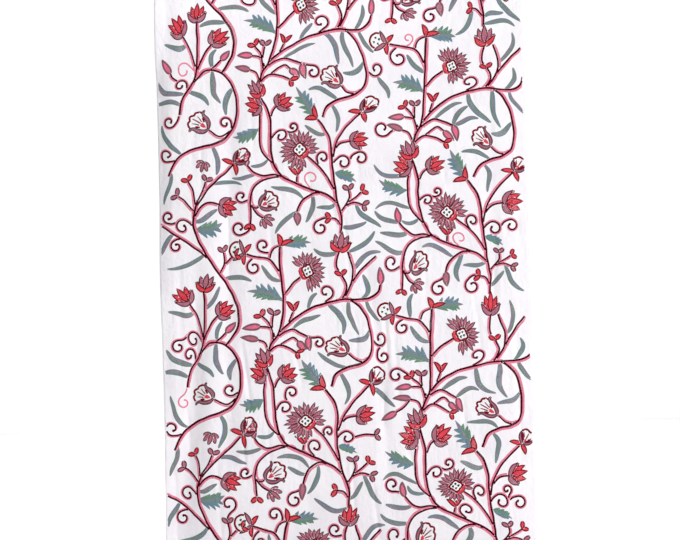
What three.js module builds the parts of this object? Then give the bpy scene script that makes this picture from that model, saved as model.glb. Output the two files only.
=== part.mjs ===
import * as THREE from 'three';

// A crewel curtain: one hemmed width of cotton cloth, hanging by its top edge in a few
// soft, uneven folds. Millimetres, +Z up. The origin is the middle of the top edge, the
// cloth hangs down to -Z, its width runs along X and its embroidered face looks to -Y.

// ---- sizes -------------------------------------------------------------------------
const FLAT_WIDTH = 1320;      // finished width, measured along the cloth
const DROP = 2130;            // finished length, top edge to bottom edge
const CLOTH = 1.6;            // thickness of the ground cloth with its yarn
const HEM_EXTRA = 1.3;        // what a turned hem adds behind the cloth
const SIDE_HEM = 38;          // hem widths
const TOP_HEM = 50;
const BOTTOM_HEM = 76;
const HEM_STEP = 4;           // distance in which a hem thins out to single cloth
const COLUMNS = 58;           // mesh steps across, between the side hems
const ROWS = 24;              // mesh steps down, between the top and bottom hems
const ARC_STEP = 5;           // step for measuring along the cloth
const CLOTH_COLOUR = 0xf4f2f6;

// ---- folds -------------------------------------------------------------------------
// One row for each fold. A fold is a soft trough (depth > 0, away from the viewer) or
// ridge (depth < 0) that runs down the cloth.
//   s0, s1   place across the cloth at its upper and lower end, from the middle
//   bow      how far the fold's middle bends sideways
//   z0, z1   height of its upper and lower end
//   in, out  length over which it fades in at the top and out at the bottom
//   half     half width, and depth
const FOLDS = [
  { name: 'left_long',     s0: -396, s1: -430, bow:   4, z0:  -250, z1: -1860, in: 330, out: 300, half:  34, depth:  10.0 },
  { name: 'left_low',      s0: -522, s1: -640, bow:  22, z0:  -900, z1: -2200, in: 420, out:  40, half:  42, depth:  17.0 },
  { name: 'middle_low',    s0:   70, s1:  150, bow:  14, z0:  -960, z1: -2010, in: 220, out: 260, half:  24, depth:   7.5 },
  { name: 'left_edge',     s0: -662, s1: -662, bow:   0, z0:  -200, z1: -1080, in: 200, out: 300, half:  46, depth:  17.0 },
  { name: 'left_swell',    s0: -470, s1: -500, bow:   0, z0:  -500, z1: -2200, in: 500, out:  40, half:  52, depth:  -6.0 },
  { name: 'low_left_back', s0: -560, s1: -580, bow:   0, z0: -1150, z1: -2300, in: 600, out:  40, half: 130, depth:  12.0 },
  { name: 'middle_soft',   s0: -128, s1: -140, bow:   0, z0:  -420, z1: -1220, in: 260, out: 320, half:  40, depth:   4.5 },
  { name: 'middle_swell',  s0:   10, s1:    0, bow: -20, z0:   200, z1: -2400, in: 100, out: 100, half: 150, depth:  -8.0 },
  { name: 'slant_low',     s0: -225, s1: -110, bow:   0, z0: -1500, z1: -2060, in: 160, out: 200, half:  30, depth:   4.0 },
  { name: 'right_hollow',  s0:  290, s1:  310, bow:  15, z0:   200, z1: -2400, in: 100, out: 100, half: 170, depth:   8.0 },
  { name: 'right_thin',    s0:  252, s1:  262, bow:   0, z0:  -420, z1: -1260, in: 200, out: 300, half:  22, depth:   3.0 },
  { name: 'right_upper',   s0:  520, s1:  534, bow:   0, z0:  -430, z1: -1330, in: 180, out: 420, half:  30, depth:   5.0 },
  { name: 'right_edge',    s0:  664, s1:  664, bow:   0, z0:   100, z1: -2300, in: 100, out: 100, half:  62, depth:   9.0 },
  { name: 'gather_a',      s0: -604, s1: -626, bow:   0, z0:   150, z1:  -420, in: 100, out: 330, half:  26, depth:   6.0 },
  { name: 'gather_b',      s0: -512, s1: -527, bow:   0, z0:   150, z1:  -400, in: 100, out: 330, half:  26, depth:   5.0 },
  { name: 'gather_c',      s0: -418, s1: -427, bow:   0, z0:   150, z1:  -380, in: 100, out: 330, half:  27, depth:   4.0 },
  { name: 'gather_d',      s0:  585, s1:  592, bow:   0, z0:   150, z1:  -350, in: 100, out: 260, half:  34, depth:   7.0 },
];

// ---- the hanging surface -----------------------------------------------------------
const smooth = (t) => {
  const u = Math.min(1, Math.max(0, t));
  return u * u * (3 - 2 * u);
};

// How far the cloth lies behind its hanging plane at place s across and height z.
function foldDepth(s, z) {
  let y = 0;
  for (const f of FOLDS) {
    const along = (f.z0 - z) / (f.z0 - f.z1);
    const centre = f.s0 + (f.s1 - f.s0) * along + f.bow * 4 * along * (1 - along);
    const fade = smooth((f.z0 - z) / f.in) * smooth((z - f.z1) / f.out);
    const across = (s - centre) / f.half;
    y += f.depth * fade * Math.exp(-across * across);
  }
  return y;
}

const slope = (s, z) => (foldDepth(s + 0.5, z) - foldDepth(s - 0.5, z));

// Width taken up from the middle to place s: folds draw the hung cloth in.
function hungX(s, z) {
  const steps = Math.max(1, Math.ceil(Math.abs(s) / ARC_STEP));
  const ds = s / steps;
  let x = 0;
  for (let i = 0; i < steps; i++) {
    const k = slope((i + 0.5) * ds, z);
    x += ds * Math.sqrt(1 - k * k);
  }
  return x;
}

const yOrigin = foldDepth(0, 0);

// Front and back points of the cloth. A hem is turned to the back.
function clothPair(s, z) {
  const k = slope(s, z);
  const c = Math.sqrt(1 - k * k);
  const centre = new THREE.Vector3(hungX(s, z), foldDepth(s, z) - yOrigin, z);
  const back = new THREE.Vector3(-k, c, 0);
  const intoCloth = Math.min(
    FLAT_WIDTH / 2 - SIDE_HEM - Math.abs(s),
    -z - TOP_HEM,
    DROP + z - BOTTOM_HEM,
  );
  const hem = HEM_EXTRA * smooth(-intoCloth / HEM_STEP);
  return [
    centre.clone().addScaledVector(back, -CLOTH / 2),
    centre.clone().addScaledVector(back, CLOTH / 2 + hem),
  ];
}

// Even steps from a to b, both ends included.
const steps = (a, b, n) => Array.from({ length: n + 1 }, (_, i) => a + ((b - a) * i) / n);

const half = FLAT_WIDTH / 2;
const inner = half - SIDE_HEM;
const across = [
  ...steps(-half, -inner, 2), ...steps(-inner + HEM_STEP, inner - HEM_STEP, COLUMNS), ...steps(inner, half, 2),
];
const down = [
  ...steps(0, -TOP_HEM, 1),
  ...steps(-TOP_HEM - HEM_STEP, -DROP + BOTTOM_HEM + HEM_STEP, ROWS),
  ...steps(-DROP + BOTTOM_HEM, -DROP, 1),
];

// ---- one closed sheet --------------------------------------------------------------
function clothSheet() {
  const nx = across.length;
  const nz = down.length;
  const front = [];
  const rear = [];
  for (const z of down) {
    for (const s of across) {
      const [f, b] = clothPair(s, z);
      front.push(f.x, f.y, f.z);
      rear.push(b.x, b.y, b.z);
    }
  }
  const F = (i, j) => j * nx + i;
  const B = (i, j) => nx * nz + j * nx + i;
  const index = [];
  const quad = (a, b, c, d) => index.push(a, b, c, a, c, d);
  for (let j = 0; j + 1 < nz; j++) {
    for (let i = 0; i + 1 < nx; i++) {
      quad(F(i, j), F(i, j + 1), F(i + 1, j + 1), F(i + 1, j));
      quad(B(i, j), B(i + 1, j), B(i + 1, j + 1), B(i, j + 1));
    }
  }
  for (let i = 0; i + 1 < nx; i++) {
    quad(F(i, 0), F(i + 1, 0), B(i + 1, 0), B(i, 0));
    quad(F(i, nz - 1), B(i, nz - 1), B(i + 1, nz - 1), F(i + 1, nz - 1));
  }
  for (let j = 0; j + 1 < nz; j++) {
    quad(F(0, j), B(0, j), B(0, j + 1), F(0, j + 1));
    quad(F(nx - 1, j), F(nx - 1, j + 1), B(nx - 1, j + 1), B(nx - 1, j));
  }
  const geometry = new THREE.BufferGeometry();
  geometry.setAttribute('position', new THREE.Float32BufferAttribute([...front, ...rear], 3));
  geometry.setIndex(index);
  geometry.computeVertexNormals();
  return geometry;
}

const panel = new THREE.Mesh(
  clothSheet(),
  new THREE.MeshStandardMaterial({ color: CLOTH_COLOUR, roughness: 0.92, metalness: 0 }),
);
panel.name = 'curtain_panel';

const curtain = new THREE.Group();
curtain.name = 'crewel_curtain';
curtain.add(panel);

export default curtain;
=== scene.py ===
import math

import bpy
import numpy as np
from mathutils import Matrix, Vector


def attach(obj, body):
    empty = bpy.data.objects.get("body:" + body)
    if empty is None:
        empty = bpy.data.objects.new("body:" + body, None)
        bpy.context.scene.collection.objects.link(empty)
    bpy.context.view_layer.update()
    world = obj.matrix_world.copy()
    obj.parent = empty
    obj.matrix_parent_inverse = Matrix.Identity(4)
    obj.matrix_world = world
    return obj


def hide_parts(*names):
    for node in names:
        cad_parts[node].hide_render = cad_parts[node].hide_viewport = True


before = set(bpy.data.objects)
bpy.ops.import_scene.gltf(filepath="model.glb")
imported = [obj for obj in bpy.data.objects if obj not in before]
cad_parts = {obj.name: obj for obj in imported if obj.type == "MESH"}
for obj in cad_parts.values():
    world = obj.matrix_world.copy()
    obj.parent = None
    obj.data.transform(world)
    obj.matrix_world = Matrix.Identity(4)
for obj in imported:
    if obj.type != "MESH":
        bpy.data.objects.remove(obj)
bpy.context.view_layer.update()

# Looks of a crewel curtain: a hemmed cotton panel hanging in soft, uneven folds, worked
# all over in wool chain stitch. The cloth and every stitch are laid out flat first, in
# millimetres across (s, from the middle) and down (z, from the top edge), and are then
# set on the folded surface.

rng = np.random.default_rng(52084)

# ------------------------------------------------------------------ sizes, millimetres
FLAT_WIDTH = 1320.0
DROP = 2130.0
SIDE_HEM, TOP_HEM, BOTTOM_HEM = 38.0, 50.0, 76.0
CLOTH = 0.9                 # ground cloth alone
HEM_EXTRA = 1.1             # turned hem, behind the cloth
ROW = 3.56                  # one chain-stitch row: the unit of the embroidery chart
STITCH = 1.42               # stitch length, in rows
YARN_HIGH = 1.25            # how far a stitch stands proud
EDGE_MARGIN = 7.0           # the needlework stops this far from the finished edge
LEAST_ROOM = 8.7            # bare ground wider than this, in rows to the nearest stitch, gets a leaf

# ------------------------------------------------------------------ folds
# s0, s1: place across at the upper and lower end; bow: sideways bend; z0, z1: heights of
# the ends; in, out: fading lengths; half width; depth (+ is away from the viewer).
FOLDS = [
    # s0,   s1,  bow,    z0,    z1,  in, out, half, depth
    (-396, -430,   4,  -250, -1860, 330, 300,  34,  10.0),
    (-522, -640,  22,  -900, -2200, 420,  40,  42,  17.0),
    (  70,  150,  14,  -960, -2010, 220, 260,  24,   7.5),
    (-662, -662,   0,  -200, -1080, 200, 300,  46,  17.0),
    (-470, -500,   0,  -500, -2200, 500,  40,  52,  -6.0),
    (-560, -580,   0, -1150, -2300, 600,  40, 130,  12.0),
    (-128, -140,   0,  -420, -1220, 260, 320,  40,   4.5),
    (  10,    0, -20,   200, -2400, 100, 100, 150,  -8.0),
    (-225, -110,   0, -1500, -2060, 160, 200,  30,   4.0),
    ( 290,  310,  15,   200, -2400, 100, 100, 170,   8.0),
    ( 252,  262,   0,  -420, -1260, 200, 300,  22,   3.0),
    ( 520,  534,   0,  -430, -1330, 180, 420,  30,   5.0),
    ( 664,  664,   0,   100, -2300, 100, 100,  62,   9.0),
    (-604, -626,   0,   150,  -420, 100, 330,  26,   6.0),
    (-512, -527,   0,   150,  -400, 100, 330,  26,   5.0),
    (-418, -427,   0,   150,  -380, 100, 330,  27,   4.0),
    ( 585,  592,   0,   150,  -350, 100, 260,  34,   7.0),
]
# Finer creases, too small for the solid.
CREASES = [
    (-414, -414,   3,  -780, -1140,  90, 110,  6.8,  5.6),
    (-376, -340,   4, -1290, -1590,  90, 110,  7.6,  6.2),
    (-373, -363,   0, -1600, -1840,  70,  90,  6.1,  4.5),
    (   1,   20,   2,  -850, -1130,  80, 100,  6.8,  4.8),
    ( 139,  147,   3, -1180, -1480,  90, 100,  7.6,  5.9),
    ( 136,  128,   0, -1470, -1660,  60,  70,  6.1,  4.8),
    (  13,   12,   2, -1690, -2040,  80,  90,  6.8,  4.5),
    (  82,  105,   0, -1790, -2050,  80,  80,  6.8,  4.8),
    ( 386,  418,   0,  -400,  -590,  60,  70,  6.8,  3.4),
    ( 358,  377,   0,  -670,  -810,  50,  50,  6.1,  3.1),
    ( 618,  640,   0,  -860, -1060,  60,  70,  6.8,  3.6),
    ( 203,  245,   0, -1650, -1840,  60,  70,  6.8,  4.2),
    (-150, -124,   0, -1650, -1800,  50,  60,  6.1,  3.9),
    (-126, -102,   0,  -670,  -880,  60,  70,  6.1,  3.6),
    ( -40,  -18,   0,  -800,  -960,  50,  60,  6.1,  3.4),
    (-636, -618,   4, -1660, -2090, 120,  60,  9.1,  6.2),
    (-580, -564,   0, -1510, -1740,  70,  80,  7.6,  6.2),
    (-588, -606,   5,  -980, -1560, 150, 200,  9.9,  4.8),
    (-322, -312,   0,  -470,  -690,  80, 120,  7.6,  3.1),
    (  62,   56,   0,  -520,  -800,  90, 120,  7.6,  3.1),
    (-196, -150,   0, -1270, -1520,  90, 110,  8.4,  4.2),
    ( 604,  612,   4, -1230, -1900, 150, 240,  6.8,  3.4),
    ( 548,  520,   0,  -900, -1320, 120, 160,  6.8,  3.1),
    (-262, -250,   0,  -820, -1120, 110, 140,  8.4,  3.4),
    ( 172,  190,   0, -1240, -1640, 120, 160,  7.6,  3.4),
    ( 398,  424,   6, -1420, -1880, 140, 190,  8.4,  3.6),
    (-470, -452,   0, -1640, -2080, 140, 160,  7.6,  4.8),
    ( 118,  104,   0,  -140,  -420, 100, 150,  8.4,  2.5),
    (-196, -204,   0,   -80,  -380, 110, 150,  9.1,  2.5),
    ( 404,  396,   0,  -120,  -430, 120, 160,  9.1,  2.2),
    (-500, -508,   0,  -560,  -860,  90, 120,  6.8,  3.6),
    (-284, -276,   0, -1560, -1850,  90, 110,  6.8,  3.6),
    ( 296,  284,   0,  -960, -1230,  90, 110,  6.8,  2.8),
    ( 470,  482,   0, -1180, -1420,  80, 100,  6.8,  2.8),
    (  44,   32,   0, -1230, -1430,  70,  80,  6.1,  3.6),
    (-540, -528,   0, -1130, -1420,  90, 110,  7.6,  4.2),
    (-658, -661,   0,  -230, -1240, 160, 220, 22.0,  7.0),
    (-650, -652,   0, -1180, -1760, 160, 220, 22.0,  5.0),
    (-665, -665,   0,  -700, -2250, 350,  60,  170,  4.0),
    (  10,    0, -20,   200, -2400, 100, 100,  150,  5.0),
    ( 290,  310,  15,   200, -2400, 100, 100,  170, -5.0),
]


def smooth(t):
    t = np.clip(t, 0.0, 1.0)
    return t * t * (3 - 2 * t)


def depth_of(table, s, z):
    y = np.zeros(np.broadcast(s, z).shape)
    for s0, s1, bow, z0, z1, fade_in, fade_out, half, deep in table:
        along = (z0 - z) / (z0 - z1)
        centre = s0 + (s1 - s0) * along + bow * 4 * along * (1 - along)
        fade = smooth((z0 - z) / fade_in) * smooth((z - z1) / fade_out)
        y = y + deep * fade * np.exp(-(((s - centre) / half) ** 2))
    return y


# ------------------------------------------------------------------ yarn colours, sRGB
YARN = {
    "maroon": (82, 0, 21),       # stem line
    "pink": (236, 135, 160),     # line beside the stem
    "red": (128, 4, 28),         # petal outlines
    "coral": (226, 76, 89),      # petal filling
    "plum": (96, 45, 59),        # mauve outlines
    "mauve": (190, 115, 132),    # mauve filling
    "blush": (182, 118, 134),    # middle of the sepals
    "dusk": (136, 90, 102),      # calyx and bud outlines
    "rose": (238, 118, 148),     # bud filling
    "green": (111, 147, 129),
    "blue": (113, 142, 154),
    "slate": (143, 136, 145),    # middle of the leaves
    "white": (252, 251, 252),
    "moss": (24, 62, 54),        # dots
}
NAMES = list(YARN)
INDEX = {k: i for i, k in enumerate(NAMES)}


def linear(rgb):
    c = np.asarray(rgb, float) / 255
    return np.where(c <= 0.04045, c / 12.92, ((c + 0.055) / 1.055) ** 2.4)


YARN_LINEAR = np.array([linear(YARN[k]) for k in NAMES])

# ------------------------------------------------------------------ chart of the repeats
# The flowering vine, in rows (one unit is one chain-stitch row), from a node of the vine: u to
# the right, v up. The broad vine is drawn in two columns and a narrower one beside the left
# hem, each stepping up and down the cloth by STEP_UP.
STEP_UP = (0.0, 271.0)
LEAN = 0.022                     # the whole vine leans this much

# stems: trunk, branch or twig; side of the pink line (+ left, - right of travel); points
# flowers and buds: at, the way they face in degrees, and a form, size or colour
# tendrils: start, first heading, length, sense (+ turns left)
# feathers and leaves: base, tip, bend (share of the length), width
BROAD = {
    "stems": [
        ("trunk",  -1, [(-10, -28), (-8, -20), (-5, -10), (0, 0), (1, 28), (2, 56), (5, 84)]),
        ("trunk",  -1, [(0, 0), (11, 12), (24, 20), (38, 25), (54, 27), (67, 28), (80, 27), (91, 29), (99, 36), (101, 46)]),
        ("trunk",  +1, [(72, 27), (83, 17), (91, 2), (94, -14), (90, -27), (79, -34), (66, -39), (55, -47), (51, -58)]),
        ("trunk",  +1, [(70, -176), (70, -161), (67, -151), (64, -142), (62, -122), (61, -98), (60, -82), (54, -70), (45, -60)]),
        ("trunk",  -1, [(-10, -36), (-6, -46), (-3, -57), (-2, -76), (0, -90), (4, -106), (11, -117), (27, -125), (43, -131), (55, -136), (64, -145)]),
        ("branch", +1, [(3, 54), (-6, 69), (-17, 73), (-31, 78)]),
        ("branch", -1, [(2, 34), (13, 45), (23, 52)]),
        ("branch", +1, [(66, 28), (70, 40), (67, 52), (62, 62), (62, 71), (64, 79)]),
        ("branch", -1, [(67, 28), (74, 44), (76, 60), (72, 78)]),
        ("branch", -1, [(74, 44), (83, 59), (97, 73)]),
        ("branch", -1, [(-2, -6), (13, 4), (25, 0), (33, -5)]),
        ("branch", -1, [(-8, -22), (2, -13), (14, -15), (23, -21)]),
        ("branch", +1, [(-12, -46), (-14, -62), (-9, -90), (3, -106)]),
        ("branch", +1, [(22, -123), (4, -116), (-9, -116), (-17, -111), (-23, -103)]),
        ("branch", -1, [(12, -118), (-8, -121), (-18, -129), (-22, -141), (-21, -152), (-20, -165)]),
        ("branch", +1, [(-22, -144), (-15, -154), (-7, -159)]),
        ("branch", +1, [(58, -138), (43, -133), (31, -138), (25, -146), (23, -152)]),
        ("branch", +1, [(61, -104), (67, -84), (78, -67), (92, -52)]),
        ("branch", +1, [(61, -98), (70, -86), (82, -84)]),
        ("branch", -1, [(36, -98), (47, -107), (55, -118), (62, -134)]),
        ("twig",   +1, [(-6, 70), (-2, 79), (5, 84)]),
        ("twig",   -1, [(8, 9), (12, 21)]),
        ("twig",   -1, [(84, -32), (75, -31), (67, -25)]),
        ("twig",   +1, [(-4, -8), (-10, 7), (-18, 15)]),
        ("twig",   +1, [(-7, 2), (-8, 10), (-8, 17)]),
        ("twig",   +1, [(-3, -5), (-10, 4), (-19, 5)]),
        ("twig",   +1, [(-8, -22), (-12, -12), (-20, -9)]),
        ("twig",   -1, [(4, -13), (17, -4), (23, -9)]),
        ("twig",   -1, [(6, -46), (1, -50), (-3, -58)]),
        ("twig",   -1, [(24, -124), (26, -116)]),
        ("twig",   +1, [(-22, -146), (-16, -149), (-12, -147)]),
        ("twig",   -1, [(67, -153), (75, -144), (77, -139), (76, -132)]),
        ("twig",   -1, [(74, -145), (83, -140), (90, -134)]),
        ("twig",   -1, [(71, -148), (82, -145), (92, -148)]),
        ("twig",   +1, [(70, -168), (64, -160), (57, -158)]),
    ],
    "sunflowers": [((31, 57), 208, "fan"), ((28, -92), -38, "round")],
    "rosebuds": [((-31, 78), 160, "dots"), ((92, -52), 48, "veins")],
    "bells": [((67, -25), 146), ((-12, -147), 34)],
    "tulips": [((64, 79), 84, 1), ((-10, -35), 112, 0), ((-12, -46), 166, 1), ((6, -46), 28, 1), ((82, -84), 2, 1)],
    "cups": [((5, 84), 62, 12.5), ((12, 21), 90, 10.5), ((26, -116), 95, 10.5), ((45, -60), 140, 12.5)],
    "berries": [
        ((66, 54), 100, "red"), ((-18, 15), 130, "red"), ((-8, 17), 90, "plum"), ((23, -21), -28, "red"),
        ((-20, -165), -90, "red"), ((76, -132), 95, "plum"), ((90, -134), 30, "red"),
        ((92, -148), -15, "plum"), ((57, -158), 176, "red"),
    ],
    "drops": [
        ((101, 46), 94, 17), ((-19, 5), 186, 15), ((-20, -9), 168, 16), ((33, -5), -82, 17),
        ((23, -9), -48, 14), ((-23, -103), 96, 17), ((23, -152), -84, 14),
    ],
    "little_bells": [((-7, -159), -40)],
    "tendrils": [
        ((-14, 72), 192, 46, +1), ((4, 44), 50, 38, -1), ((40, 25), 2, 43, -1), ((72, 78), 96, 42, -1),
        ((93, -5), -70, 40, +1), ((92, -22), 220, 40, -1), ((-9, -25), 215, 42, -1),
        ((-21, -135), 238, 42, -1), ((51, -112), 140, 38, +1), ((44, -131), 160, 40, -1), ((5, 78), 60, 40, +1),
        ((62, -112), 70, 40, -1), ((-2, -84), 70, 38, -1),
    ],
    "feathers": [
        ((8, 87), (27, 101), 0.06, 12), ((0, 29), (-27, 44), -0.08, 12), ((-12, -66), (-42, -58), 0.10, 11),
        ((42, -57), (23, -34), 0.05, 12), ((62, -115), (92, -111), 0.07, 11),
    ],
    "leaves": [
        ((1, 47), (-12, 62), -0.16, 5.6), ((29, 23), (42, 38), 0.14, 5.6), ((50, 27), (56, 47), -0.16, 5.8),
        ((83, 27), (88, 48), -0.18, 5.8), ((87, 28), (106, 16), 0.10, 5.4), ((71, 27), (78, -1), -0.10, 6.0),
        ((50, 26), (62, -2), 0.15, 6.2), ((91, -3), (72, -12), -0.16, 5.6), ((94, -9), (104, -35), 0.14, 6.0),
        ((66, -38), (44, -34), -0.14, 5.6), ((59, -44), (72, -63), 0.16, 5.8), ((14, 4), (37, 13), 0.10, 5.6),
        ((76, 58), (90, 78), -0.16, 5.4), ((-1, -78), (12, -54), -0.10, 5.8), ((-9, -88), (-43, -88), -0.20, 6.0),
        ((-3, -100), (-20, -98), 0.22, 5.4), ((-14, -114), (-36, -112), 0.10, 5.4), ((30, -138), (8, -126), -0.12, 5.6),
        ((39, -134), (30, -154), -0.12, 6.0), ((-18, -151), (4, -145), -0.14, 5.6),
        ((57, -74), (37, -69), 0.12, 5.6), ((63, -86), (62, -56), -0.12, 6.0), ((72, -76), (94, -72), 0.12, 5.6),
        ((61, -101), (86, -97), 0.06, 5.8), ((52, -113), (52, -84), 0.06, 5.4), ((45, -60), (30, -48), 0.08, 5.8),
        ((64, -143), (40, -147), 0.12, 5.6), ((88, -136), (108, -140), -0.18, 5.4), ((84, -146), (104, -166), -0.10, 5.8),
        ((70, -168), (90, -158), 0.10, 5.6), ((70, -174), (54, -188), -0.10, 5.6), ((2, 58), (13, 76), 0.14, 5.4),
        ((3, -106), (20, -104), 0.14, 5.4), ((-19, -130), (-42, -126), 0.12, 5.6),
    ],
}
NARROW = {
    "stems": [
        ("trunk",  -1, [(-11, -36), (-10, -20), (0, 0), (5, 18), (7, 38), (5, 58)]),
        ("trunk",  +1, [(-3, -5), (12, 8), (25, 6), (35, -6), (40, -24), (39, -44), (32, -57), (20, -64), (5, -68), (-10, -74), (-21, -85), (-26, -99)]),
        ("trunk",  -1, [(34, -268), (46, -250), (46, -230), (35, -208), (18, -189), (5, -168), (0, -146), (6, -124)]),
        ("branch", +1, [(4, 12), (-2, 33), (-10, 45)]),
        ("branch", -1, [(2, 6), (12, 24), (22, 36)]),
        ("branch", -1, [(9, 6), (20, 10), (30, 18)]),
        ("branch", +1, [(2, -134), (18, -110), (32, -94), (42, -83)]),
        ("branch", -1, [(1, -140), (14, -127), (27, -129)]),
        ("branch", -1, [(12, -181), (-6, -165), (-22, -153), (-39, -142)]),
        ("branch", -1, [(24, -195), (29, -184), (28, -172)]),
        ("twig",   +1, [(40, -52), (26, -57), (14, -51)]),
        ("twig",   +1, [(3, -130), (1, -115), (-5, -105)]),
        ("twig",   -1, [(5, -126), (11, -113), (13, -104)]),
        ("twig",   +1, [(2, -134), (-7, -124), (-14, -119)]),
        ("twig",   -1, [(28, -186), (36, -180), (43, -177)]),
    ],
    "rosebuds": [((42, -83), 47, "veins")],
    "bells": [((14, -51), 143)],
    "tulips": [((5, 58), 92, 0), ((-10, 45), 128, 1), ((22, 36), 38, 1), ((27, -129), -14, 1)],
    "berries": [((-5, -105), 118, "red"), ((13, -104), 74, "plum"), ((-14, -119), 150, "plum"), ((28, -172), 98, "plum"), ((43, -177), 24, "red")],
    "drops": [((30, 18), 50, 13)],
    "little_bells": [((10, -84), -100)],
    "tendrils": [
        ((-1, 2), 140, 50, +1), ((43, -40), 250, 42, -1), ((42, -18), -66, 40, +1), ((41, -50), 235, 40, +1),
        ((-16, -79), 210, 42, -1), ((-9, -16), 70, 38, -1), ((1, -152), 112, 40, +1), ((33, -205), 150, 40, -1),
        ((12, -179), 140, 38, +1), ((-24, -152), 140, 36, +1),
    ],
    "feathers": [((0, -150), (27, -146), -0.10, 12)],
    "leaves": [
        ((-6, 6), (-30, 24), 0.10, 6.2), ((-9, -14), (-30, 0), 0.12, 6.2), ((-11, -26), (-34, -24), -0.14, 6.0),
        ((20, 8), (24, -22), -0.12, 6.6), ((41, -12), (22, -34), 0.14, 6.2), ((20, 11), (27, 32), -0.14, 5.6),
        ((-13, -76), (-34, -56), 0.12, 6.2), ((18, -65), (22, -90), -0.14, 6.0), ((-24, -94), (-36, -116), 0.10, 5.6),
        ((18, -110), (16, -84), 0.10, 5.8), ((20, -108), (42, -104), 0.12, 5.8), ((2, -160), (-28, -134), 0.12, 6.2),
        ((8, -174), (-18, -186), 0.14, 6.2), ((40, -215), (18, -214), -0.12, 5.8), ((0, -143), (22, -138), 0.10, 5.6),
        ((5, 40), (20, 56), -0.14, 5.6), ((-4, 38), (-26, 36), 0.12, 6.0), ((30, -200), (52, -196), 0.14, 5.8),
        ((-20, -152), (-36, -166), -0.12, 5.8), ((45, -232), (58, -212), 0.12, 5.6),
    ],
}
# chart, a node of each column, from the top edge
COLUMNS = [(NARROW, (-147.0, -104.0)), (BROAD, (-68.0, -87.0)), (BROAD, (81.0, -152.0))]

# ------------------------------------------------------------------ rows of one motif
groups = []       # (order, whole, choices); a choice is points that should be bare and a maker of its rows
# a row is (points, colour, width, joined left and right)


def emit(order, rows, whole=True):
    rows = [r for r in rows if len(r[0]) >= 2]
    if rows:
        groups.append((order, whole, [(None, lambda rows=rows: rows)]))


def unit(deg):
    a = math.radians(deg)
    return np.array((math.cos(a), math.sin(a)))


def even(pts, step=None, count=None):
    """Points at even steps along a polyline; further columns go along with the points."""
    pts = np.asarray(pts, float)
    d = np.r_[0, np.cumsum(np.linalg.norm(np.diff(pts[:, :2], axis=0), axis=1))]
    n = count or max(2, int(round(d[-1] / step)) + 1)
    t = np.linspace(0, d[-1], n)
    return np.stack([np.interp(t, d, column) for column in pts.T], 1)


def curve(pts, step=0.5):
    """A smooth curve through the chart's points."""
    p = np.asarray(pts, float)
    if len(p) == 2:
        return even(p, step)
    p = np.vstack([2 * p[0] - p[1], p, 2 * p[-1] - p[-2]])
    k = np.r_[0, np.cumsum(np.linalg.norm(np.diff(p, axis=0), axis=1) ** 0.5)]
    out = []
    for i in range(1, len(p) - 2):
        t = np.linspace(k[i], k[i + 1], 24, endpoint=i == len(p) - 3)[:, None]
        a1 = (k[i] - t) / (k[i] - k[i - 1]) * p[i - 1] + (t - k[i - 1]) / (k[i] - k[i - 1]) * p[i]
        a2 = (k[i + 1] - t) / (k[i + 1] - k[i]) * p[i] + (t - k[i]) / (k[i + 1] - k[i]) * p[i + 1]
        a3 = (k[i + 2] - t) / (k[i + 2] - k[i + 1]) * p[i + 1] + (t - k[i + 1]) / (k[i + 2] - k[i + 1]) * p[i + 2]
        b1 = (k[i + 1] - t) / (k[i + 1] - k[i - 1]) * a1 + (t - k[i - 1]) / (k[i + 1] - k[i - 1]) * a2
        b2 = (k[i + 2] - t) / (k[i + 2] - k[i]) * a2 + (t - k[i]) / (k[i + 2] - k[i]) * a3
        out.append((k[i + 1] - t) / (k[i + 1] - k[i]) * b1 + (t - k[i]) / (k[i + 1] - k[i]) * b2)
    return even(np.vstack(out), step)


def left_of(path):
    t = np.gradient(path, axis=0)
    t /= np.maximum(np.linalg.norm(t, axis=1), 1e-9)[:, None]
    return np.stack([-t[:, 1], t[:, 0]], 1)


def taper(rise, fall):
    """A width that rises from one end and falls to the other."""
    top = (rise / (rise + fall)) ** rise * (fall / (rise + fall)) ** fall
    return lambda t: t**rise * (1 - t) ** fall / top


PROFILE = {
    "leaf": taper(0.44, 0.50),
    "lance": taper(0.55, 0.78),
    "drop": taper(0.44, 0.84),
    "flame": taper(0.42, 0.86),
    "oval": taper(0.50, 0.50),
    "ray": lambda t: (0.50 + 0.50 * smooth(t / 0.55)) * (1 - np.clip((t - 0.50) / 0.50, 0, 1) ** 1.7),
}


def half_width(path, width, profile):
    return PROFILE[profile](np.linspace(0, 1, len(path))) * width / 2


def striped(path, h, colours):
    """Rows of equal share side by side along a path, the first on the right."""
    side, n, rows = left_of(path), len(colours), []
    for k, colour in enumerate(colours):
        wide = 2 * h / n
        keep = wide > 0.07
        rows.append(((path + side * (((2 * k + 1) / n - 1) * h)[:, None])[keep], colour, wide[keep], (k < n - 1, k > 0)))
    return rows


def outlined(path, h, outline, edge, fills):
    """A row of outline down each side and rows of filling between; the outlines close the ends."""
    side, e = left_of(path), np.minimum(edge, h)
    g, n = h - e, len(fills)
    rows = [(path - side * (h - e / 2)[:, None], outline, e, (1, 0)), (path + side * (h - e / 2)[:, None], outline, e, (0, 1))]
    wide = 2 * g / n
    keep = wide > 0.10
    for k, colour in enumerate(fills):
        rows.append(((path + side * (((2 * k + 1) / n - 1) * g)[:, None])[keep], colour, wide[keep], (1, 1)))
    return rows


def bent(base, tip, bend, sway=0.0):
    base, tip = np.asarray(base, float), np.asarray(tip, float)
    ax = tip - base
    t = np.linspace(0, 1, max(12, int(np.linalg.norm(ax) / 0.35)))[:, None]
    return base + ax * t + np.array((-ax[1], ax[0])) * (bend * 4 * t * (1 - t) + sway * np.sin(2 * math.pi * t))


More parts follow.
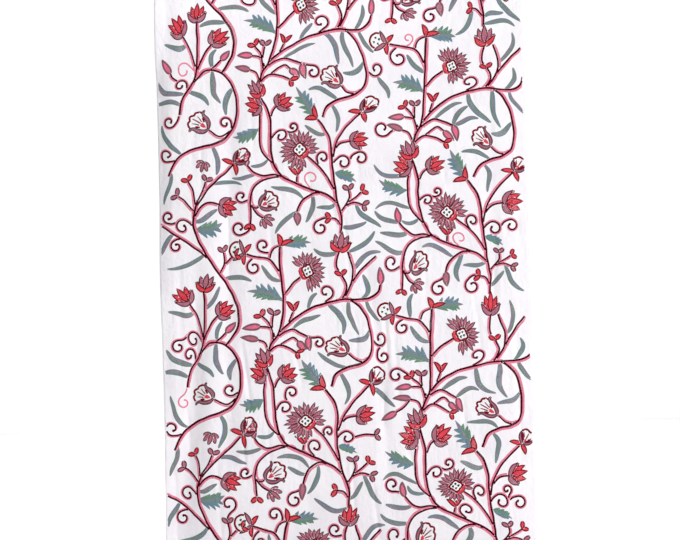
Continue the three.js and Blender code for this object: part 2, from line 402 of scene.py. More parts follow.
def petal(base, tip, bend, width, outline, filling, edge=0.8, profile="lance", rows=0):
    path = bent(base, tip, bend)
    n = rows or max(1, int(round((width - 2 * edge) / 1.05)))
    return outlined(path, half_width(path, width, profile), outline, edge, (filling,) * n)


def arc(centre, radius, a0, a1):
    """An arc; the radius may change with the angle."""
    a = np.linspace(a0, a1, max(8, int(abs(a1 - a0) / 4)))
    r = radius(a) if callable(radius) else np.full(len(a), float(radius))
    return np.asarray(centre) + np.stack([np.cos(np.radians(a)), np.sin(np.radians(a))], 1) * r[:, None]


def turned(v, deg):
    c, s = math.cos(math.radians(deg)), math.sin(math.radians(deg))
    return np.array((c * v[0] - s * v[1], s * v[0] + c * v[1]))


# Stems grow out of one another along the older one, so that every fork is a smooth one.
RANK = {"trunk": 2, "branch": 1, "twig": 0}
grown = []        # paths of the stems of the repeat in hand


def forked(stems, flowers):
    first = [curve(pts) for _, _, pts in stems]
    flowers = np.asarray(flowers, float).reshape(-1, 2)
    out = []
    for i, (kind, shade, pts) in enumerate(stems):
        pts = [np.asarray(p, float) for p in pts]
        for head in (True, False):
            p = pts[0] if head else pts[-1]
            if len(flowers) and np.linalg.norm(flowers - p, axis=1).min() < 2.5:
                continue
            best = None
            for j, other in enumerate(first):
                if j == i or RANK[stems[j][0]] < RANK[kind] or (RANK[stems[j][0]] == RANK[kind] and j > i):
                    continue
                d = np.linalg.norm(other - p, axis=1)
                k = int(np.argmin(d))
                if d[k] < 4.5 and (best is None or d[k] < best[0]):
                    best = (d[k], other, k)
            if best is None:
                continue
            _, other, k = best
            on = pts[1] if head else pts[-2]
            way = other[min(k + 4, len(other) - 1)] - other[max(k - 4, 0)]
            sign = 1 if way @ (on - p) >= 0 else -1
            back, near = np.clip((k - 13 * sign, k - 3 * sign), 0, len(other) - 1)
            start = [other[near]] if back == near else [other[back], other[near]]
            pts = start + pts[1:] if head else pts[:-1] + start[::-1]
        out.append((kind, shade, curve(pts)))
    return out


def nearest_stem(at, reach=6.0):
    """The nearest place on a stem and the way the stem runs there."""
    best = (reach, None, None)
    for path in grown:
        d = np.linalg.norm(path - at, axis=1)
        k = int(np.argmin(d))
        if d[k] < best[0]:
            best = (d[k], path[k], path[min(k + 4, len(path) - 1)] - path[max(k - 4, 0)])
    return best[1], best[2]


def stem(kind, shade, path, order=3):
    """A dark line with a pink one along one side of it."""
    side = left_of(path)
    t = np.linspace(0, 1, len(path))
    full = smooth(t / 0.10) * smooth((1 - t) / 0.10)
    grown.append(path)
    if kind == "trunk":
        emit(order, [(path + side * 0.53, "maroon", 1.12, (0, 1)), (path - side * 0.53, "maroon", 1.12, (1, 0))], whole=False)
        wide, from_middle = 1.0 * (0.6 + 0.4 * full), 1.03
        emit(order + 0.5, [(path + side * (shade * (from_middle + wide * f))[:, None], "pink", wide, (1, 1)) for f in (0.5, 1.5)], whole=False)
        return
    dark, wide, from_middle = (2.06, 1.66, 0.97) if kind == "branch" else (1.90, 1.46, 0.90)
    emit(order, [(path, "maroon", dark, (0, 0))], whole=False)
    wide = wide * (0.5 + 0.5 * full)
    emit(order + 0.5, [(path + side * (shade * (from_middle + wide / 2))[:, None], "pink", wide, (1, 1))], whole=False)


def curl(at, first, heading, length, sense, pale):
    """A curl: it leaves its stem along it, turns in and tightens to a round knob. A few are pink alone."""
    lead = 0.32 * length
    a0, a1 = math.radians(first), math.radians(heading)
    a0 = a1 + (a0 - a1 + math.pi) % (2 * math.pi) - math.pi
    n = max(6, int(lead / 0.35))
    t = (np.arange(n) + 0.5) / n
    a = a0 + (a1 - a0) * smooth(t * 1.1)
    turn = np.linspace(0, math.radians(345), 80)
    r = 1 - 0.62 * (turn / turn[-1]) ** 0.9
    r *= (length - lead) / (np.diff(turn) * (r[:-1] + r[1:]) / 2).sum()
    b = a[-1] + sense * (turn[:-1] + turn[1:]) / 2
    step = np.r_[np.full(n, lead / n), np.diff(turn) * (r[:-1] + r[1:]) / 2]
    a = np.r_[a, b]
    path = np.vstack([[np.asarray(at, float)], np.asarray(at, float) + np.cumsum(np.stack([np.cos(a), np.sin(a)], 1) * step[:, None], 0)])
    path = even(path, 0.4)
    t = np.linspace(0, 1, len(path))
    out = -sense * left_of(path)
    wide = 1.1 * smooth((1 - t) / 0.12) * (0.6 + 0.4 * smooth(t / 0.1))
    keep = wide > 0.1
    free = t > 0.14
    probe = np.vstack([path[free], (path + out * 2.2)[free], (path - out * 1.3)[free]])

    def rows():
        if pale:
            return [(path, "pink", 1.7, (0, 0))]
        return [(path, "maroon", 1.92, (0, 0)), (arc(path[-1] - out[-1] * 0.35, 0.78, 0, 340), "maroon", 1.6, (0, 0)),
                ((path + out * (0.89 + wide / 2)[:, None])[keep], "pink", wide[keep], (1, 1))]
    return probe, rows


def tendril(at, heading, length, sense, order=4, way=None, end=False):
    """A curl from a stem; from a stem's end it goes on along it."""
    on, given = at, way is not None
    if way is None:
        on, way = nearest_stem(np.asarray(at, float))
    first = heading
    if on is not None:
        at = on
        along = math.degrees(math.atan2(way[1], way[0]))
        off = (heading - along + 180) % 360 - 180
        first = along if end or abs(off) < (90 if given else 75) else along + 180 if given or abs(off) > 105 else heading
    choices, pale = [], rng.uniform() < 0.04
    for flip in (1, -1):
        for scale in (1.06, 0.96, 0.86, 0.76):
            for tilt in (0, 16, -16, 32, -32):
                turn = (heading + tilt - first + 180) % 360 - 180
                choices.append(curl(at, first, first + np.clip(turn, -62, 62), length * scale, sense * flip, pale))
    groups.append((order, True, choices))


def heart(at, colour, size=1.5):
    """A few stitches that close the place where petals and stem meet."""
    emit(2.7, [(arc(at, r, 0, 350), colour, 0.8, (1, 1)) for r in np.arange(0.35, size, 0.6)])


def dot(at, colour="moss"):
    emit(-1, [(arc(at, 0.72, 0, 335), colour, 1.5, (1, 1))])


def sunflower(at, stem_way, form):
    at = np.asarray(at, float)
    k = rng.uniform(0.99, 1.05)
    for i in range(4):
        dot(at + unit(stem_way + 45 + 90 * i) * 2.6 * k)
    lobes = lambda a: (4.7 + 0.7 * np.cos(np.radians(4 * (a - stem_way - 45)))) * k
    emit(-0.5, [(arc(at, lambda a: lobes(a) + q, stem_way - 180, stem_way + 180), "red", 1.0, (1, 1)) for q in (0.5, 1.4)])
    emit(0, [(arc(at, r * k, 0, 350), "white", 1.05, (1, 1)) for r in (0.5, 1.5, 2.5, 3.5, 4.4)])
    emit(0, [(arc(at, r * k, stem_way - w, stem_way + w), colour, 1.0, (1, 1))
             for r, w, colour in ((6.9, 64, "coral"), (7.8, 56, "coral"), (8.7, 44, "coral"), (9.5, 30, "red"))])
    count, spread = (17, 244) if form == "fan" else (21, 302)
    for i in range(count):
        way = stem_way + 180 + spread * (i / (count - 1) - 0.5) + rng.uniform(-1.6, 1.6)
        end = (20.2 if i % 2 else 18.2) * k * rng.uniform(0.96, 1.04)
        emit(0, petal(at + unit(way) * 5.9 * k, at + unit(way) * end, rng.uniform(-0.03, 0.03), 4.3 * k,
                      "plum", "mauve", 0.92, "ray", 2))
    # dark between the petals
    gap = spread / (count - 1)
    for i in range(count - 1):
        way = stem_way + 180 + spread * (i / (count - 1) - 0.5)
        for f in (0.5, 0.32, 0.68):
            emit(0.5, [(np.array([at + unit(way + f * gap) * r * k for r in (5.8, 9.0, 13.2)]), "plum", np.array((0.6, 0.8, 0.5)), (1, 1))])


def mouth(root, way, line, reach, spread):
    """A red line round a white mouth, with veins from its root."""
    emit(1, [(line, "red", 2.15, (0, 0))])
    for a, far in ((-0.55, 0.30), (0.0, 0.36), (0.55, 0.30)):
        emit(1, [(np.array([root + unit(way + a * spread) * reach * r for r in (0.0, 0.16, far)]), "coral", np.array((1.5, 1.7, 0.9)), (1, 1))])
    for a, far in ((-0.62, 0.74), (0.0, 0.84), (0.62, 0.74)):
        emit(1, [(np.array([root + unit(way + a * spread) * reach * r for r in np.linspace(0.34, far, 7)]), "red", np.linspace(1.5, 1.05, 7), (0, 0))])
    emit(2, [(np.array([root + unit(way + a * spread) * reach * r for r in np.linspace(0.2, 0.95, 9)]), "white",
              np.linspace(0.5, 1.2, 9), (1, 1)) for a in np.linspace(-1.3, 1.3, 11)])


def torn(at, way, s, long=13.5):
    """A red sepal with a torn edge."""
    at = np.asarray(at, float)
    emit(1, petal(at, at + unit(way) * long, 0.07 * s, 5.8, "red", "coral", 1.25, "lance", 3))
    for f, turn, size in ((0.34, 34, 5.4), (0.58, 28, 4.4)):
        start = at + unit(way) * long * f
        emit(1, petal(start, start + unit(way + turn * s) * size, 0, 3.0, "red", "coral", 0.8, "flame", 1))


def rosebud(at, way, form):
    """A bud in a dusky calyx, with two torn red sepals behind it."""
    at = np.asarray(at, float)
    ax, side = unit(way), unit(way + 90)
    if form == "dots":
        centre = at + ax * 10.8
        for p in (-2.3, 2.3):
            for q in (-2.5, 2.5):
                dot(centre + ax * p + side * q)
        rim = lambda a: 7.5 + 1.0 * np.abs(np.cos(np.radians(2 * (a - way)))) - 0.4 * np.cos(np.radians(4 * (a - way)))
        for s in (1, -1):
            path = curve([at, at + ax * 3.6 + side * 3.2 * s, at + ax * 7.4 + side * 7.4 * s, at + ax * 11.4 + side * 11.2 * s])
            emit(1, outlined(path, half_width(path, 5.2, "lance"), "plum", 1.2, ("blush", "blush")))
        emit(1, [(arc(centre, rim, way + 180, way + 540), "red", 2.0, (1, 0))])
        emit(2, [(arc(centre, lambda a, r=r: (rim(a) - 1.2) * r, way, way + 352), "white", 1.15, (1, 1)) for r in (0.08, 0.24, 0.40, 0.56, 0.72, 0.88)])
    else:
        # two crescents hold the lower half of a round head
        centre, radius = at + ax * 9.3, 9.0
        turn = np.linspace(0, 1, 60)
        thick = 4.7 * taper(0.30, 0.62)(np.clip(turn * 0.94 + 0.05, 0, 1))
        inner = {}
        for s in (1, -1):
            a = way + 180 - s * (3 + 113 * turn)
            spoke = np.stack([np.cos(np.radians(a)), np.sin(np.radians(a))], 1)
            emit(1, outlined(centre + spoke * (radius - thick / 2)[:, None], thick / 2, "plum", 1.1, ("dusk", "blush", "dusk")))
            inner[s] = (centre + spoke * (radius - thick - 0.8)[:, None])[7:52]
        a = np.linspace(68, -68, 60)
        lip = centre + np.stack([np.cos(np.radians(way + a)), np.sin(np.radians(way + a))], 1) * (radius - 0.5 + 1.1 * np.abs(np.sin(np.radians(a * 180 / 68 * 2.5 / 2))))[:, None]
        mouth(centre - ax * 4.6, way, np.vstack([inner[1], lip, inner[-1][::-1]]), 13.4, 52)
    for s in (1, -1):
        torn(at, way + (122 if form == "veins" else 108) * s, -s, 14.0 if form == "veins" else 12.0)
    heart(at, "plum", 2.2)


def bell(at, way):
    """A short trumpet in a cup of two mauve sepals with turned-out tips; its red lip has three scallops."""
    at = np.asarray(at, float)
    ax, side = unit(way), unit(way + 90)
    k = rng.uniform(0.98, 1.08)
    spot = lambda a, b: at + (ax * a + side * b) * k
    for s in (1, -1):
        path = curve([spot(a, b * s) for a, b in ((-0.4, -0.6), (2.0, 4.0), (6.0, 6.4), (10.0, 7.2), (12.5, 9.2), (12.3, 11.8))])
        t = np.linspace(0, 1, len(path))
        h = (1.3 + 1.0 * smooth(t / 0.3) - 0.95 * smooth((t - 0.42) / 0.5)) * smooth((1 - t) / 0.08 + 0.25)
        emit(1, outlined(path, h, "plum", 1.05, ("dusk", "mauve", "dusk")))
    q = np.linspace(1, -1, 90)
    a = 18.0 - 5.4 * q**2 + 1.9 * np.abs(np.cos(1.5 * math.pi * q))
    lip = at + (ax * a[:, None] + side * (9.2 * q)[:, None]) * k
    line = curve(np.vstack([[spot(6.4, 2.9), spot(9.8, 5.2)], lip[::5], [spot(9.8, -5.2), spot(6.4, -2.9)]]))
    mouth(spot(2.6, 0), way, line, 17.0 * k, 30)
    heart(at, "plum")


def tulip(at, way, scheme):
    """Flame petals standing in a boat of two pointed sepals."""
    at = np.asarray(at, float)
    ax, side = unit(way), unit(way + 90)
    dark, light = ("red", "coral") if scheme else ("plum", "mauve")
    cup_dark, cup_light = ("plum", "blush") if scheme else ("red", "coral")
    k = rng.uniform(0.95, 1.04)
    for s in (1, -1):
        path = curve([at + (ax * a + side * b * s) * k for a, b in ((0.7, -2.2), (0.7, 2.4), (3.0, 6.5), (6.4, 8.8), (8.4, 11.0))])
        emit(1, outlined(path, half_width(path, 6.0 * k, "lance"), cup_dark, 1.2, (cup_light,) * 2))
    for turn, far, wide in ((0, 17.4, 7.0), (25, 16.2, 7.2), (-25, 16.2, 7.2), (49, 13.2, 6.2), (-49, 13.2, 6.2)):
        d = unit(way + turn)
        emit(2, petal(at + (ax * 2.2 + d * 0.8) * k, at + (ax * 1.0 + d * far * rng.uniform(0.95, 1.05)) * k, 0.05 * np.sign(turn), wide * k,
                      dark, light, 1.20, "flame", 3))
    # the petals stand close: dark between them
    for turn in (11, -11, 33, -33, 7, -7, 15, -15, 29, -29, 38, -38, 3, -3, 52, -52):
        d = unit(way + turn)
        emit(2.5, [(np.array([at + (ax * 1.4 + d * r) * k for r in (0.8, 4.5, 9.0 if abs(turn) < 45 else 7.0)]), dark, np.array((0.7, 0.8, 0.45)), (1, 1))])
    emit(2.6, [(arc(at + ax * 0.8 * k, r * k, way - 78, way + 78), dark, 0.9, (1, 1)) for r in (1.6, 2.5, 3.4, 4.3, 5.2)])
    heart(at + ax * 0.6, cup_dark, 2.2)


def cup(at, way, size):
    """Two red petals in a V."""
    at = np.asarray(at, float)
    for turn in (43, -43):
        emit(1, petal(at - unit(way) * 0.6, at + unit(way + turn) * size * 1.10, -0.10 * np.sign(turn), 0.36 * size + 1.4,
                      "red", "coral", 1.35, "lance", 3))
    heart(at, "red")


def berry(at, way, colour):
    """Two little rounds at the end of a twig."""
    at = np.asarray(at, float)
    light = "coral" if colour == "red" else "mauve"
    for turn in (50, -50):
        emit(1, petal(at - unit(way) * 0.4, at + unit(way + turn) * 7.4, 0, 5.5, colour, light, 1.35, "oval", 2))
    heart(at, colour)


def drop(at, way, size, pod=False):
    """A plump bud with a pointed tip."""
    at = np.asarray(at, float)
    path = bent(at - unit(way) * 0.3, at + unit(way) * size, rng.uniform(-0.06, 0.06))
    emit(1, outlined(path, half_width(path, 7.7, "drop"), "dusk", 1.95, ("mauve" if pod else "rose",) * 4))


def little_bell(at, way):
    """A small mauve flower, half open."""
    at = np.asarray(at, float)
    for turn, far in ((0, 11.5), (34, 10.5), (-34, 10.5), (72, 8.0), (-72, 8.0)):
        d = unit(way + turn)
        emit(1, petal(at - unit(way) * 0.4, at + d * far, 0.06 * np.sign(turn), 4.7, "plum", "mauve", 1.0, "leaf", 2))


def feather(base, tip, bend, width):
    """A leaf with long pointed teeth, green on one side and blue on the other."""
    base, tip = np.asarray(base, float), np.asarray(tip, float)
    on, _ = nearest_stem(base)
    base = base if on is None else on
    pair = ("blue", "green") if rng.uniform() < 0.5 else ("green", "blue")
    jag = rng.uniform(-1, 1, (2, 4, 2))
    choices = []
    for scale in (1.06, 0.94, 0.82, 0.70):
        for tilt in (0, 10, -10, 20, -20, 32, -32):
            path = bent(base, base + turned(tip - base, tilt) * scale, bend)

            def rows(path=path, wide=width * scale):
                out = striped(path, half_width(path, 0.46 * wide, "lance"), (pair[1], "slate", "slate", pair[0]))
                for s, colour, rough in ((1, pair[0], jag[0]), (-1, pair[1], jag[1])):
                    for (f, far), (early, steep) in zip(((0.06, 1.02), (0.21, 1.10), (0.37, 1.02), (0.53, 0.86)), rough):
                        k = int((f + 0.02 * early + 0.02) * len(path))
                        ahead = path[min(k + 4, len(path) - 1)] - path[k]
                        d = turned(ahead / np.linalg.norm(ahead), s * (36 + 4 * steep))
                        tooth = bent(path[k], path[k] + d * far * wide, -0.10 * s)
                        out += striped(tooth, half_width(tooth, 4.0, "lance"), (colour,) * 3)
                return out
            side, mid_path = left_of(path), np.linspace(0, 1, len(path))
            h, free = taper(0.5, 0.7)(mid_path) * width * scale * 0.60, mid_path > 0.14
            probe = np.vstack([path[free], (path + side * h[:, None])[free], (path - side * h[:, None])[free]])
            choices.append((probe, rows))
    groups.append((6, True, choices))


LEAF_STRIPES = [
    ("green", "green", "slate", "slate", "blue", "blue"),
    ("blue", "blue", "slate", "slate", "green", "green"),
    ("green", "green", "slate", "slate", "slate", "blue"),
    ("blue", "slate", "slate", "slate", "green", "green"),
    ("blue", "blue", "slate", "slate", "slate", "slate"),
    ("green", "green", "slate", "slate", "slate", "slate"),
]


def leaf(base, tip, bend, width):
    """A long leaf on a stem: the longest of a few that finds room."""
    base, tip = np.asarray(base, float), np.asarray(tip, float)
    stripes = LEAF_STRIPES[rng.integers(len(LEAF_STRIPES))]
    on, _ = nearest_stem(base)
    base = base if on is None else on
    sway = rng.choice((-1, 1)) * rng.uniform(0.0, 0.045)
    width = width * rng.uniform(0.80, 0.94)
    bend = bend + rng.uniform(-0.03, 0.03)
    choices = []
    for scale in (1.30, 1.16, 1.02, 0.90):
        for bow in (bend, -bend):
            for tilt in (0, 10, -10, 20, -20):
                way = turned(tip - base, tilt) * scale
                long = np.linalg.norm(way)
                if long < 17:
                    continue
                way *= min(1, 37 / long)
                path = bent(base, base + way, bow, sway)
                h = half_width(path, min(width, 0.25 * long), "leaf")
                side, free = left_of(path), np.linspace(0, 1, len(path)) > 0.16
                probe = np.vstack([path[free], (path + side * (h + 0.8)[:, None])[free], (path - side * (h + 0.8)[:, None])[free]])
                choices.append((probe, lambda path=path, h=h: striped(path, h, stripes)))
    if choices:
        groups.append((7, True, choices))


def one_repeat(chart, swap):
    part = lambda name: chart.get(name, [])
    flowers = [row[0] for name in ("sunflowers", "rosebuds", "bells", "tulips", "cups", "berries", "drops", "little_bells") for row in part(name)]
    for kind, shade, path in forked(part("stems"), flowers):
        stem(kind, shade, path)
    for at, way, form in part("sunflowers"):
        sunflower(at, way, form)
    for at, way, form in part("rosebuds"):
        rosebud(at, way + rng.uniform(-6, 6), form)
    for at, way in part("bells"):
        bell(at, way + rng.uniform(-6, 6))
    for i, (at, way, scheme) in enumerate(part("tulips")):
        tulip(at, way + rng.uniform(-6, 6), scheme ^ (swap and i == 0))
    for at, way, size in part("cups"):
        cup(at, way + rng.uniform(-6, 6), size)
    for at, way, colour in part("berries"):
        berry(at, way + rng.uniform(-10, 10), colour)
    for i, (at, way, size) in enumerate(part("drops")):
        drop(at, way + rng.uniform(-6, 6), size * rng.uniform(0.94, 1.06), i % 4 == 2)
    for at, way in part("little_bells"):
        little_bell(at, way + rng.uniform(-6, 6))
    for at, heading, length, sense in part("tendrils"):
        tendril(at, heading + rng.uniform(-6, 6), length * rng.uniform(0.95, 1.05), sense)
    for row in part("feathers"):
        feather(*row)
    for row in part("leaves"):
        leaf(*row)


# ------------------------------------------------------------------ repeats over the panel
WAVES = [(rng.uniform(70, 150), rng.uniform(0, 2 * math.pi), rng.uniform(0, 2 * math.pi), rng.uniform(0, 2 * math.pi), 1.0) for _ in range(6)]
WAVES += [(rng.uniform(11, 24), rng.uniform(0, 2 * math.pi), rng.uniform(0, 2 * math.pi), rng.uniform(0, 2 * math.pi), 0.08) for _ in range(7)]


def by_hand(p):
    """The unevenness of drawing and stitching by hand."""
    q = p.copy()
    for length, way, pa, pb, size in WAVES:
        x = 2 * math.pi / length * (p[:, 0] * math.cos(way) + p[:, 1] * math.sin(way))
        q[:, 0] += size * np.sin(x + pa)
        q[:, 1] += size * np.sin(x + pb)
    return q


taken = np.zeros((int(DROP) + 80, int(FLAT_WIDTH) + 80), bool)
laid = {"at": [], "left": [], "wide": [], "colour": [], "joined": [], "end": []}


def cell(p):
    return (np.clip((40 - p[..., 1]).astype(int), 0, taken.shape[0] - 1),
            np.clip((p[..., 0] + FLAT_WIDTH / 2 + 40).astype(int), 0, taken.shape[1] - 1))


def placed_at(node, p):
    """Chart points on the flat cloth, in millimetres."""
    return p * ROW if node is None else by_hand(node + p + np.stack([LEAN * p[:, 1], 0 * p[:, 1]], 1)) * ROW


def within(p):
    return (np.abs(p[:, 0]) < half_cloth - EDGE_MARGIN) & (p[:, 1] < -EDGE_MARGIN - 3) & (p[:, 1] > -DROP + EDGE_MARGIN + 3)


half_cloth = FLAT_WIDTH / 2


def lay(node, whole, choices, least=0.0, good=0.985, cover=2):
    """The stitches of one motif, on cloth that is still bare: the first of its forms that finds room, or the best."""
    best = (-1, None)
    for probe, maker in choices:
        if probe is None:
            best = (1, maker)
            break
        p = placed_at(node, probe)
        inside = within(p)
        if inside.mean() < 0.8:
            continue
        share = (inside & ~taken[cell(p)]).sum() / inside.sum()
        if share > best[0] + 0.01:
            best = (share, maker)
        if share >= good:
            break
    if best[0] < least:
        return False
    ones = {key: [] for key in laid}
    for pts, colour, wide, joined in best[1]():
        pts = np.column_stack([pts, np.broadcast_to(wide, len(pts))])
        long = np.linalg.norm(np.diff(pts[:, :2], axis=0), axis=1).sum()
        if long < 0.7:
            continue
        n = max(1, int(round(long / STITCH)))
        pts = even(pts, count=2 * n + 1)
        p, w = placed_at(node, pts[:, :2]), pts[:, 2].copy()
        end = np.ones(2 * n + 1)
        end[[0, -1]] = 0.4
        w[[0, -1]] *= 0.7
        idx = 2 * np.arange(n)[:, None] + np.arange(3)
        for key, value in (("at", p[idx]), ("left", left_of(p)[idx]), ("wide", w[idx] * ROW), ("end", end[idx]),
                           ("colour", np.full(n, INDEX[colour])), ("joined", np.tile(np.asarray(joined, float), (n, 1)))):
            ones[key].append(value)
    if not ones["at"]:
        return False
    ones = {key: np.concatenate(value) for key, value in ones.items()}
    at = ones["at"]
    inside = within(at[:, 1])
    if not inside.any() or (whole and inside.mean() < 0.45):
        return False
    hit = sum(taken[cell(q)].astype(int) for q in (0.7 * at[:, 0] + 0.3 * at[:, 1], at[:, 1], 0.3 * at[:, 1] + 0.7 * at[:, 2]))
    ok = inside & (hit < cover)
    if not ok.any():
        return False
    ones = {key: value[ok] for key, value in ones.items()}
    at, left, wide = ones["at"], ones["left"], ones["wide"]
    for a, b, f in ((0, 1, 0.0), (0, 1, 0.35), (0, 1, 0.7), (1, 2, 0.0), (1, 2, 0.35), (1, 2, 0.7), (1, 2, 1.0)):
        p = at[:, a] * (1 - f) + at[:, b] * f
        w = wide[:, a] * (1 - f) + wide[:, b] * f
        for g in (-0.40, -0.27, -0.13, 0.0, 0.13, 0.27, 0.40):
            taken[cell(p + left[:, 1] * (g * w)[:, None])] = True
    for key, value in ones.items():
        laid[key].append(value)
    return True


todo = []
for column, (chart, first) in enumerate(COLUMNS):
    for up in (-2, -1, 0, 1):
        node = np.array(first) + up * np.array(STEP_UP)
        if node[1] * ROW < -DROP - 420 or node[1] * ROW > 700:
            continue
        groups.clear()
        grown.clear()
        one_repeat(chart, (column + up) % 2 == 0)
        todo += [(order, len(todo) + i, node, whole, choices) for i, (order, whole, choices) in enumerate(groups)]
LEAST_FREE = {4: 0.90, 6: 0.86, 7: 0.975}      # a curl or leaf that finds less room is left out
for order, _, node, whole, choices in sorted(todo, key=lambda g: (g[0], g[1])):
    lay(node, whole, choices, LEAST_FREE.get(order, 0.0), cover=3 if order in (2.5, 2.6) else 2)      # fills go right up to the petals


def room():
    """Distance from each bare 6 mm square to the nearest stitch or edge, in rows."""
    q = 6
    full = taken[: taken.shape[0] // q * q, : taken.shape[1] // q * q].reshape(taken.shape[0] // q, q, taken.shape[1] // q, q).any((1, 3))
    e = 40 // q
    full[: e + 1], full[-e - 1:], full[:, : e + 1], full[:, -e - 1:] = True, True, True, True
    g = np.where(full, 0, 30).astype(float)
    for i in range(1, len(g)):
        g[i] = np.minimum(g[i], g[i - 1] + 1)
    for i in range(len(g) - 2, -1, -1):
        g[i] = np.minimum(g[i], g[i + 1] + 1)
    best = g**2
    for k in range(1, 25):
        best[:, k:] = np.minimum(best[:, k:], g[:, :-k] ** 2 + k * k)
        best[:, :-k] = np.minimum(best[:, :-k], g[:, k:] ** 2 + k * k)
    return np.sqrt(best) * q / ROW, q


# Leaves, tendrils and buds grow from the nearest stem into ground that is still bare.
tried = np.zeros((taken.shape[0] // 6, taken.shape[1] // 6), bool)
stems_laid = np.vstack([p for p, c in zip(laid["at"], laid["colour"]) if (c == INDEX["maroon"]).any()]) / ROW
for _ in range(170):
    away, q = room()
    away[tried] = 0
    i, j = np.unravel_index(int(np.argmax(away)), away.shape)
    r = away[i, j]
    if r < LEAST_ROOM:
        break
    tried[max(0, i - 3): i + 4, max(0, j - 3): j + 4] = True
    spot = np.array(((j + 0.5) * q - 40 - FLAT_WIDTH / 2, 40 - (i + 0.5) * q)) / ROW
    near = int(np.argmin(np.linalg.norm(stems_laid[:, 1] - spot, axis=1)))
    root, run = stems_laid[near, 1], stems_laid[near, 2] - stems_laid[near, 0]
    if abs(root[0]) > FLAT_WIDTH / 2 / ROW - 8:      # nothing grows out of a stem cut short by the edge
        continue
    run = run / max(np.linalg.norm(run), 1e-6)
    loose = [s for s in (1, -1) if np.linalg.norm(stems_laid[:, 1] - root - run * 4.5 * s, axis=1).min() > 2.4]
    way = spot - root
    dist = np.linalg.norm(way)
    if dist > 34:
        continue
    way = way / dist
    deg = math.degrees(math.atan2(way[1], way[0]))
    groups.clear()
    grown.clear()
    pick = rng.uniform()
    if pick < 0.66 and r > 8.0:
        tendril(root, deg + rng.uniform(-25, 25), dist * 0.9 + 24, rng.choice((-1, 1)), way=run * (loose[0] if loose else 1), end=len(loose) == 1)
    elif pick < 0.76 and r > 10.0:
        bud = root + way * max(4.0, dist - 6.5)
        stem("twig", rng.choice((-1, 1)), curve([root, root + way * dist * 0.4 + np.array((-way[1], way[0])) * 1.5, bud]))
        drop(bud, deg + rng.uniform(-15, 15), 17) if rng.uniform() < 0.6 else berry(bud, deg, rng.choice(("red", "plum")))
    else:
        leaf(root, spot + way * 0.55 * r, rng.choice((-1, 1)) * rng.uniform(0.06, 0.18), 5.8)
    for order, whole, choices in sorted(groups, key=lambda g: g[0]):
        lay(None, whole, choices, 0.92 if len(choices) > 1 else 0.3)

AT, LEFT, WIDE, END = (np.concatenate(laid[key]) for key in ("at", "left", "wide", "end"))
COLOUR, JOINED = np.concatenate(laid["colour"]), np.concatenate(laid["joined"])
print("stitches", len(AT), "cover", round(float(taken[40:-40, 40:-40].mean()), 3))

# ------------------------------------------------------------------ the hanging surface
half = FLAT_WIDTH / 2
hem_s = half - SIDE_HEM
S = np.unique(np.round(np.concatenate([
    np.linspace(-hem_s + 8, hem_s - 8, 322), np.linspace(hem_s - 8, hem_s + 8, 7), -np.linspace(hem_s - 8, hem_s + 8, 7),
    np.linspace(hem_s + 8, half, 5), -np.linspace(hem_s + 8, half, 5), [0.0]]), 4))
Z = -np.unique(np.round(np.concatenate([
    np.linspace(0, TOP_HEM - 8, 7), np.linspace(TOP_HEM - 8, TOP_HEM + 8, 7),
    np.linspace(TOP_HEM + 8, DROP - BOTTOM_HEM - 8, 108),
    np.linspace(DROP - BOTTOM_HEM - 8, DROP - BOTTOM_HEM + 8, 7), np.linspace(DROP - BOTTOM_HEM + 8, DROP, 9)]), 4))
GS, GZ = np.meshgrid(S, Z)


def blurred(a, sigma):
    k = np.exp(-0.5 * (np.arange(-3 * sigma, 3 * sigma + 1) / sigma) ** 2)
    k /= k.sum()
    a = np.apply_along_axis(lambda r: np.convolve(np.pad(r, 3 * sigma, "edge"), k, "valid"), 0, a)
    return np.apply_along_axis(lambda r: np.convolve(np.pad(r, 3 * sigma, "edge"), k, "valid"), 1, a)


# The needlework draws the ground up a little round itself.
small = taken[: taken.shape[0] // 4 * 4, : taken.shape[1] // 4 * 4].reshape(taken.shape[0] // 4, 4, taken.shape[1] // 4, 4).mean((1, 3))
soft = blurred(small, 3) - blurred(small, 14)
pr, pc = (40 - GZ) / 4 - 0.5, (GS + half + 40) / 4 - 0.5
ir, ic = np.clip(pr.astype(int), 0, soft.shape[0] - 2), np.clip(pc.astype(int), 0, soft.shape[1] - 2)
fr, fc = np.clip(pr - ir, 0, 1), np.clip(pc - ic, 0, 1)
pucker = (soft[ir, ic] * (1 - fr) * (1 - fc) + soft[ir + 1, ic] * fr * (1 - fc) + soft[ir, ic + 1] * (1 - fr) * fc + soft[ir + 1, ic + 1] * fr * fc)

ripple = np.zeros_like(GS)
for _ in range(46):
    length, tilt = rng.uniform(38, 150), rng.normal(0, 0.35)
    drift = 1 + 0.5 * np.sin(GZ / rng.uniform(180, 420) + rng.uniform(0, 6.3))
    ripple += length / 100 * drift * np.sin(2 * math.pi / length * (GS * math.cos(tilt) + GZ * math.sin(tilt)) + rng.uniform(0, 6.3))
ripple *= 0.075
# fine wrinkles, mostly along the drop
for _ in range(340):
    s0, z0 = rng.uniform(-half, half), rng.uniform(-DROP, 0)
    long, wide, lean, deep = rng.uniform(30, 95), rng.uniform(4.4, 7.5), rng.normal(0, 0.13), rng.choice((-1, 1)) * rng.uniform(0.45, 1.5)
    off = (GZ - z0) / long
    ripple += deep * np.exp(-off**2) * np.exp(-(((GS - s0 - lean * (GZ - z0)) / wide) ** 2))

